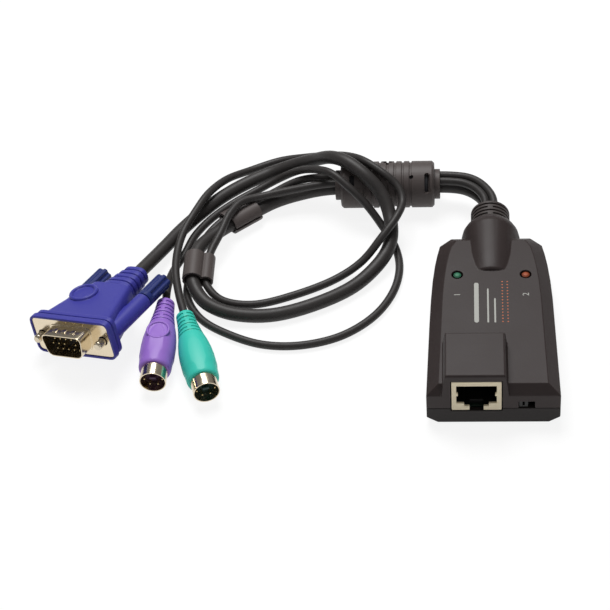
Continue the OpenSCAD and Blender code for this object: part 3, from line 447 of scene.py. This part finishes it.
# Moulded and cut edges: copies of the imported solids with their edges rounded
SOFT_EDGES = {
    # node: (width of the rounding in mm, segments, least angle in degrees)
    "top_cover": (0.28, 3, 20),
    "bottom_cover": (0.3, 2, 25),
    "case_screws": (0.12, 2, 35),
    "circuit_board": (0.08, 1, 35),
    "main_chip": (0.05, 1, 35),
    "wire_header": (0.1, 1, 35),
    "jack_housing": (0.12, 2, 35),
    "jack_contacts": (0.05, 1, 50),
    "switch_body": (0.08, 1, 35),
    "switch_slider": (0.12, 2, 35),
    "strain_relief": (0.1, 2, 35),
    "ferrite_cover": (0.15, 2, 35),
    "ferrite_core": (0.2, 2, 35),
    "upper_cord_clip": (0.15, 2, 40),
    "lower_cord_clip": (0.15, 2, 40),
    "video_hood": (0.3, 3, 25),
    "video_plate": (0.12, 2, 35),
    "video_insulator": (0.15, 2, 35),
    "left_knob": (0.25, 3, 35),
    "right_knob": (0.25, 3, 35),
    "keyboard_plug_body": (0.12, 2, 30),
    "mouse_plug_body": (0.12, 2, 30),
    "keyboard_plug_shell": (0.08, 2, 40),
    "mouse_plug_shell": (0.08, 2, 40),
    "keyboard_plug_insulator": (0.12, 2, 40),
    "mouse_plug_insulator": (0.12, 2, 40),
}
ROUND_BODIES = ("keyboard_plug_body", "mouse_plug_body")
# Vertices closer than this many metres are one
MERGE = 2e-6
# Faces that meet at less than the first are one flat face, at less than the second are smooth
FLAT_ANGLE = math.radians(0.8)
SMOOTH_ANGLE = math.radians(32)
# The weight at which the largest faces alone steer the shading
FLAT_FACES_FIRST = 100
SLOT_OF = {part["node"]: part["material_slot"] for part in frame["record"]["subparts"]}


def solid_copy(node):
    """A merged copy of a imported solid's mesh, with flat faces joined."""
    bm = bmesh.new()
    bm.from_mesh(NODES[node].data)
    bm.transform(NODES[node].matrix_world)
    bmesh.ops.remove_doubles(bm, verts=bm.verts, dist=MERGE)
    bmesh.ops.dissolve_limit(bm, angle_limit=FLAT_ANGLE, verts=bm.verts, edges=bm.edges)
    return bm


def finished(piece):
    """The mesh of a piece with its modifiers applied."""
    graph = bpy.context.evaluated_depsgraph_get()
    mesh = bpy.data.meshes.new_from_object(piece.evaluated_get(graph))
    piece.modifiers.clear()
    piece.data = mesh
    return mesh


# The nose of the hump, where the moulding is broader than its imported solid
NOSE_TIP = 9 * MM
NOSE_ROOT = 23 * MM
NOSE_HALF = 9 * MM
BROADER = 0.13
FULL_WIDTH_SHARE = 1 / 1.7
# Height of the deck, and how far below it a vertex still counts as above it
DECK = 16.0
DECK_PLAY = 0.01


def widen_nose(bm):
    """Widens the hump towards its nose, to the full from FULL_WIDTH_SHARE of the way on."""
    for v in bm.verts:
        above = v.co.z > (DECK - DECK_PLAY) * MM
        if above and abs(v.co.x) < NOSE_HALF and NOSE_TIP < v.co.y < NOSE_ROOT:
            share = (NOSE_ROOT - v.co.y) / (NOSE_ROOT - NOSE_TIP)
            v.co.x *= 1 + BROADER * math.sin(min(1, share / FULL_WIDTH_SHARE) * math.pi / 2)


# Slots and a round hole in the ferrite's cover, on the side towards the camera; the axis in y and z
FERRITE_AXIS = (62, 8.25)
FERRITE_SLOTS = [
    # place along X, low and high angle round the axis in degrees, half width
    (-22.06, 23, 65, 0.85),
    (-48.46, 31, 65, 0.85),
    (-27.5, 60, 61, 0.75),
]
# Inner and outer radius that a cutter spans
SLOT_DEEP = (6.9, 9.2)
SLOT_STEPS = 10


def slot_cutter(x, low, high, half):
    """A closed solid with round ends, bent round the ferrite from the low to the high angle."""
    bm = bmesh.new()
    edge = math.degrees(half / SLOT_DEEP[1])
    rim = []
    for end, turn in ((high, 0), (low, math.pi)):
        for k in range(SLOT_STEPS + 1):
            a = turn + math.pi * k / SLOT_STEPS
            rim.append((x + half * math.cos(a), math.radians(end + edge * math.sin(a))))
    y, z = FERRITE_AXIS
    loops = [[bm.verts.new(Vector((u, y - r * math.cos(a), z + r * math.sin(a))) * MM)
        for u, a in rim] for r in SLOT_DEEP]
    n = len(rim)
    for k in range(n):
        bm.faces.new((loops[0][k], loops[0][(k + 1) % n], loops[1][(k + 1) % n], loops[1][k]))
    for loop in loops:
        bmesh.ops.triangulate(bm, faces=[bm.faces.new(loop)])
    bmesh.ops.recalc_face_normals(bm, faces=bm.faces)
    return bm


def cut_slots(piece):
    for slot in FERRITE_SLOTS:
        cutter = linked("cutter", mesh_of("cutter", slot_cutter(*slot)))
        opening = piece.modifiers.new("opening", "BOOLEAN")
        opening.operation = "DIFFERENCE"
        opening.solver = "EXACT"
        opening.object = cutter
        finished(piece)
        bpy.data.objects.remove(cutter)


def round_edges(piece, width, segments, angle):
    rounding = piece.modifiers.new("rounding", "BEVEL")
    rounding.limit_method = "ANGLE"
    rounding.angle_limit = math.radians(angle)
    rounding.width = width * MM
    rounding.segments = segments
    rounding.use_clamp_overlap = False
    finished(piece)


def keep_inside(piece, node):
    """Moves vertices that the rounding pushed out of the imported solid's box back to its sides."""
    corners = [NODES[node].matrix_world @ Vector(c) for c in NODES[node].bound_box]
    sides = [(min(c[axis] for c in corners), max(c[axis] for c in corners)) for axis in range(3)]
    for v in piece.data.vertices:
        for axis, (low, high) in enumerate(sides):
            v.co[axis] = min(max(v.co[axis], low), high)


def shade_softly(piece, node):
    """Smooth shading with flat faces kept flat, except on the round plugs' soft flats."""
    piece.data.shade_smooth()
    piece.data.set_sharp_from_angle(angle=SMOOTH_ANGLE)
    if node in ROUND_BODIES:
        return
    weighting = piece.modifiers.new("weighting", "WEIGHTED_NORMAL")
    weighting.keep_sharp = True
    weighting.weight = FLAT_FACES_FIRST
    finished(piece)


def soften(node, width, segments, angle):
    """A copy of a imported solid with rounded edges, in the solid's place."""
    bm = solid_copy(node)
    if node == "top_cover":
        widen_nose(bm)
    piece = linked(node + "_finish", mesh_of(node + "_finish", bm))
    round_edges(piece, width, segments, angle)
    keep_inside(piece, node)
    if node == "ferrite_cover":
        cut_slots(piece)
    shade_softly(piece, node)
    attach(piece, NODES[node]["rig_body"])
    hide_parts(node)
    give(piece, SLOT_OF[node])


for soft_node, soft_edge in SOFT_EDGES.items():
    soften(soft_node, *soft_edge)


# Repeated pieces, each from a node tree with named sizes
class Tree:
    """A geometry node tree; node() adds a node, sets it and feeds it."""

    def __init__(self, name, sizes):
        self.tree = bpy.data.node_groups.new(name, "GeometryNodeTree")
        sockets = self.tree.interface
        sockets.new_socket("Geometry", in_out="OUTPUT", socket_type="NodeSocketGeometry")
        self.ids = {}
        for label, value in sizes.items():
            kind = "NodeSocketInt" if isinstance(value, int) else "NodeSocketFloat"
            socket = sockets.new_socket(label, in_out="INPUT", socket_type=kind)
            socket.default_value = value
            self.ids[label] = socket.identifier
        self.start = self.tree.nodes.new("NodeGroupInput")

    def size(self, label):
        return self.start.outputs[label]

    def node(self, kind, settings, inputs, output=0):
        made = self.tree.nodes.new(kind)
        for key, value in settings.items():
            setattr(made, key, value)
        for key, value in inputs.items():
            if isinstance(value, bpy.types.NodeSocket):
                self.tree.links.new(value, made.inputs[key])
            else:
                made.inputs[key].default_value = value
        return made.outputs[output]

    def maths(self, operation, a, b):
        return self.node("ShaderNodeMath", {"operation": operation}, {0: a, 1: b})

    def vector(self, x=0.0, y=0.0, z=0.0):
        return self.node("ShaderNodeCombineXYZ", {}, {"X": x, "Y": y, "Z": z})

    def end(self, shape, slot):
        """Ends the tree in the shape, with the slot's material."""
        solid = self.node("GeometryNodeRealizeInstances", {}, {"Geometry": shape})
        shown = self.node("GeometryNodeSetMaterial", {}, {"Geometry": solid,
            "Material": MATERIALS[slot]})
        out = self.tree.nodes.new("NodeGroupOutput")
        self.tree.links.new(shown, out.inputs[0])
        return self


def grown(tree, sizes, places):
    """The tree's result at each place, a matrix each; sizes not given are the tree's own."""
    whole = bmesh.new()
    for place in places:
        holder = linked("grown", bpy.data.meshes.new("grown"))
        growth = holder.modifiers.new("growth", "NODES")
        growth.node_group = tree.tree
        for label, value in sizes.items():
            growth[tree.ids[label]] = value
        mesh = finished(holder)
        mesh.transform(place)
        whole.from_mesh(mesh)
        bpy.data.objects.remove(holder)
    return whole


def piece_from(name, bm, slot, body=ROOT, replaced=(), merge=True):
    if merge:
        bmesh.ops.remove_doubles(bm, verts=bm.verts, dist=MERGE)
        bmesh.ops.recalc_face_normals(bm, faces=bm.faces)
    mesh = mesh_of(name, bm)
    mesh.shade_smooth()
    mesh.set_sharp_from_angle(angle=SMOOTH_ANGLE)
    piece = new_object(name, mesh, body)
    if replaced:
        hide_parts(*replaced)
    give(piece, slot)


def plug_frame(tail, turn, length):
    """The frame of a plug: its shell in front of y = 0 and its body behind, towards +Y."""
    x, y, z = (math.radians(a) for a in turn)
    turned = Matrix.Rotation(z, 4, "Z") @ Matrix.Rotation(y, 4, "Y") @ Matrix.Rotation(x, 4, "X")
    return at(*tail) @ turned @ Matrix.Translation(Vector((0, -length * MM, 0)))


def at(*place):
    return Matrix.Translation(Vector(place) * MM)


# How each plug is turned, in degrees, and the length of its body
VIDEO_TURN = (-8.8, -14.7, -23.6)
KEYBOARD_TURN = (0, 0, -1.6)
MOUSE_TURN = (0, 0, 16.2)
VIDEO_LENGTH = 40.2
ROUND_PLUG_LENGTH = 31.5
VIDEO = plug_frame(VIDEO_ROUTE[-1], VIDEO_TURN, VIDEO_LENGTH)
KEYBOARD = plug_frame(KEYBOARD_ROUTE[-1], KEYBOARD_TURN, ROUND_PLUG_LENGTH)
MOUSE = plug_frame(MOUSE_ROUTE[-1], MOUSE_TURN, ROUND_PLUG_LENGTH)
SCREW_X = 24.99 / 2
PIN_PITCH = 2.29
TOWARDS_FRONT = Matrix.Rotation(math.pi / 2, 4, "X")


def pin_row_tree(slot):
    """A row of straight pins along X, each with a rounded tip towards +Z."""
    t = Tree("pin_row_" + slot, {"Pins": 5, "Pitch": PIN_PITCH * MM, "Pin radius": 0.3 * MM,
        "Pin length": 3.4 * MM})
    r = t.size("Pin radius")
    shank = t.node("GeometryNodeMeshCylinder", {}, {"Vertices": 20, "Radius": r,
        "Depth": t.size("Pin length")})
    shank = t.node("GeometryNodeTransform", {}, {"Geometry": shank,
        "Translation": t.vector(z=t.maths("MULTIPLY", t.size("Pin length"), 0.5))})
    tip = t.node("GeometryNodeMeshUVSphere", {}, {"Segments": 20, "Rings": 10, "Radius": r})
    tip = t.node("GeometryNodeTransform", {}, {"Geometry": tip,
        "Translation": t.vector(z=t.size("Pin length"))})
    pin = t.tree.nodes.new("GeometryNodeJoinGeometry")
    t.tree.links.new(shank, pin.inputs[0])
    t.tree.links.new(tip, pin.inputs[0])
    row = t.node("GeometryNodeMeshLine", {}, {"Count": t.size("Pins"),
        "Offset": t.vector(x=t.size("Pitch"))})
    pins = t.node("GeometryNodeInstanceOnPoints", {}, {"Points": row, "Instance": pin.outputs[0]})
    return t.end(pins, slot)


def thread_tree():
    """A screw thread: a small ridge swept along a helix towards +Z."""
    t = Tree("thread", {"Turns": 5.0, "Thread radius": 1.32 * MM, "Thread length": 2.4 * MM,
        "Ridge radius": 0.15 * MM})
    helix = t.node("GeometryNodeCurveSpiral", {}, {"Resolution": 24, "Rotations": t.size("Turns"),
        "Start Radius": t.size("Thread radius"), "End Radius": t.size("Thread radius"),
        "Height": t.size("Thread length")})
    ridge = t.node("GeometryNodeCurvePrimitiveCircle", {}, {"Resolution": 6,
        "Radius": t.size("Ridge radius")})
    swept = t.node("GeometryNodeCurveToMesh", {}, {"Curve": helix, "Profile Curve": ridge,
        "Fill Caps": True})
    return t.end(swept, "screw_nickel")


def dot_field_tree():
    """Printed dots in rows and columns on the XY plane."""
    t = Tree("dot_field", {"Columns": 2, "Rows": 14, "Column pitch": 1.7 * MM,
        "Row pitch": 1.43 * MM, "Dot radius": 0.24 * MM})
    grid = t.node("GeometryNodeMeshLine", {}, {"Count": t.size("Rows"),
        "Offset": t.vector(y=t.size("Row pitch"))})
    dot = t.node("GeometryNodeMeshCircle", {"fill_type": "NGON"}, {"Vertices": 12,
        "Radius": t.size("Dot radius")})
    across = t.node("GeometryNodeMeshLine", {}, {"Count": t.size("Columns"),
        "Offset": t.vector(x=t.size("Column pitch"))})
    one_row = t.node("GeometryNodeInstanceOnPoints", {}, {"Points": across, "Instance": dot})
    field = t.node("GeometryNodeInstanceOnPoints", {}, {"Points": grid, "Instance": one_row})
    return t.end(field, "dot_print")


# Pins of the screen plug, in three rows of five with one place empty
ROW_PITCH = 1.98
PIN_START = -0.6
PIN_ROWS = [
    # row, place of its first pin in pitches from the middle, number of pins
    (0, -1.75, 5),
    (1, -2.25, 3),
    (1, 1.75, 1),
    (2, -1.75, 5),
]
pin_tree = pin_row_tree("gold_contact")
pins = bmesh.new()
for row, first, count in PIN_ROWS:
    place = VIDEO @ at(first * PIN_PITCH, PIN_START, (1 - row) * ROW_PITCH) @ TOWARDS_FRONT
    pins.from_mesh(mesh_of("row", grown(pin_tree, {"Pins": count}, [place])))
piece_from("video_pins_finish", pins, "gold_contact", replaced=["video_pins"], merge=False)

# Pins of the round plugs, in their carriers
CARRIER_R = 4.08
DIN_PIN_START = -1
# Places across the carrier, in shares of its radius
DIN_PIN_SHARES = [(0.33, -0.6), (-0.33, -0.6), (0.74, -0.05), (-0.74, -0.05), (0.55, 0.55),
    (-0.55, 0.55)]
for plug, plug_place in (("keyboard", KEYBOARD), ("mouse", MOUSE)):
    places = [plug_place @ at(CARRIER_R * x, DIN_PIN_START, CARRIER_R * z) @ TOWARDS_FRONT
        for x, z in DIN_PIN_SHARES]
    pins = grown(pin_tree, {"Pins": 1, "Pin radius": 0.34 * MM, "Pin length": 2.3 * MM}, places)
    piece_from(plug + "_pins_finish", pins, "gold_contact", replaced=[plug + "_plug_pins"],
        merge=False)

# Threads of the jackscrews, on the screws' own bodies
THREAD_START = -0.6
thread = thread_tree()
for side, x in (("left", -SCREW_X), ("right", SCREW_X)):
    ridge = grown(thread, {}, [VIDEO @ at(x, THREAD_START, 0) @ TOWARDS_FRONT])
    piece_from(side + "_thread", ridge, "screw_nickel", side + "_thumbscrew")


# Plain printed marks on the deck: stripes, a band of dots and a number at each light
PRINT_LIFT = 0.02
STRIPES = [
    # middle in x, low end and high end in y, width
    (-5.1, -14.6, 4.0, 1.5),
    (-1.3, -14.6, 1.2, 0.55),
    (1.0, -14.6, -3.4, 0.55),
]
DOTS_CORNER = (3.5, -14.2)
NUMBERS = [
    # text, middle in x and in y
    ("1", -11.35, -1.6),
    ("2", 11.35, -1.6),
]
NUMBER_SIZE = 3.0
ARC_STEPS = 8


def rounded_bar(bm, x, low, high, width, z):
    r = width / 2
    arc = [math.pi * k / ARC_STEPS for k in range(ARC_STEPS + 1)]
    rim = [(x + r * math.cos(a), high - r + r * math.sin(a)) for a in arc]
    rim += [(x - r * math.cos(a), low + r - r * math.sin(a)) for a in arc]
    bm.faces.new([bm.verts.new(Vector((u, v, z)) * MM) for u, v in rim])


def printed_number(text, x, y):
    curve = bpy.data.curves.new("number", "FONT")
    curve.body = text
    curve.size = NUMBER_SIZE * MM
    curve.align_x = "CENTER"
    curve.align_y = "CENTER"
    holder = linked("number", curve)
    graph = bpy.context.evaluated_depsgraph_get()
    mesh = bpy.data.meshes.new_from_object(holder.evaluated_get(graph))
    mesh.transform(at(x, y, DECK + PRINT_LIFT) @ Matrix.Rotation(math.pi / 2, 4, "Z"))
    bpy.data.objects.remove(holder)
    return mesh


marks = bmesh.new()
for stripe in STRIPES:
    rounded_bar(marks, *stripe, DECK + PRINT_LIFT)
for text, x, y in NUMBERS:
    marks.from_mesh(printed_number(text, x, y))
piece_from("pale_marks", marks, "pale_print", merge=False)
dots = grown(dot_field_tree(), {}, [at(*DOTS_CORNER, DECK + PRINT_LIFT)])
piece_from("dot_marks", dots, "dot_print", merge=False)


# Floor, light and view
FLOOR_SIZE = 4.0
FLOOR_COLOUR = (0.86, 0.86, 0.86, 1)
# How much of the floor is plain white to the camera and in reflections, and how bright
WHITE_SHARE = 0.8
WHITE_STRENGTH = 1.08
WORLD_STRENGTH = 0.2
LAMP_TARGET = Vector((-0.05, 0.0, 0.0))
LAMPS = [
    # name, place, size, power in watts
    ("top_lamp", (-0.15, 0.45, 0.9), 0.5, 9.0),
    ("front_lamp", (0.5, -0.9, 0.6), 0.8, 1.0),
]


def make_floor():
    """A matt floor that the camera and reflections see as nearly plain white, with its shadows."""
    bm = bmesh.new()
    bmesh.ops.create_grid(bm, x_segments=1, y_segments=1, size=FLOOR_SIZE / 2)
    floor = linked("floor", mesh_of("floor", bm))
    g = Graph("floor_paper")
    g.set(Base_Color=FLOOR_COLOUR, Roughness=0.9, Specular_IOR_Level=0.1)
    rays = g.tree.nodes.new("ShaderNodeLightPath")
    seen = sum(Value(g, rays.outputs[kind])
        for kind in ("Is Camera Ray", "Is Glossy Ray", "Is Transmission Ray"))
    white = g.tree.nodes.new("ShaderNodeEmission")
    white.inputs["Strength"].default_value = WHITE_STRENGTH
    blend = g.tree.nodes.new("ShaderNodeMixShader")
    out = g.tree.nodes["Material Output"]
    g.feed(blend.inputs[0], (seen * WHITE_SHARE).clamped())
    g.tree.links.new(g.shader.outputs[0], blend.inputs[1])
    g.tree.links.new(white.outputs[0], blend.inputs[2])
    g.tree.links.new(blend.outputs[0], out.inputs["Surface"])
    floor.data.materials.append(g.material)


def make_lamps():
    for name, place, size, power in LAMPS:
        lamp = linked(name, bpy.data.lights.new(name, "AREA"))
        lamp.data.size = size
        lamp.data.energy = power
        lamp.location = place
        lamp.rotation_euler = (LAMP_TARGET - Vector(place)).to_track_quat("-Z", "Y").to_euler()


def make_world():
    world = bpy.data.worlds.new("studio")
    bpy.context.scene.world = world
    world.use_nodes = True
    background = world.node_tree.nodes["Background"]
    background.inputs["Color"].default_value = (1, 1, 1, 1)
    background.inputs["Strength"].default_value = WORLD_STRENGTH


make_floor()
make_lamps()
make_world()
bpy.context.scene.view_settings.view_transform = "Standard"
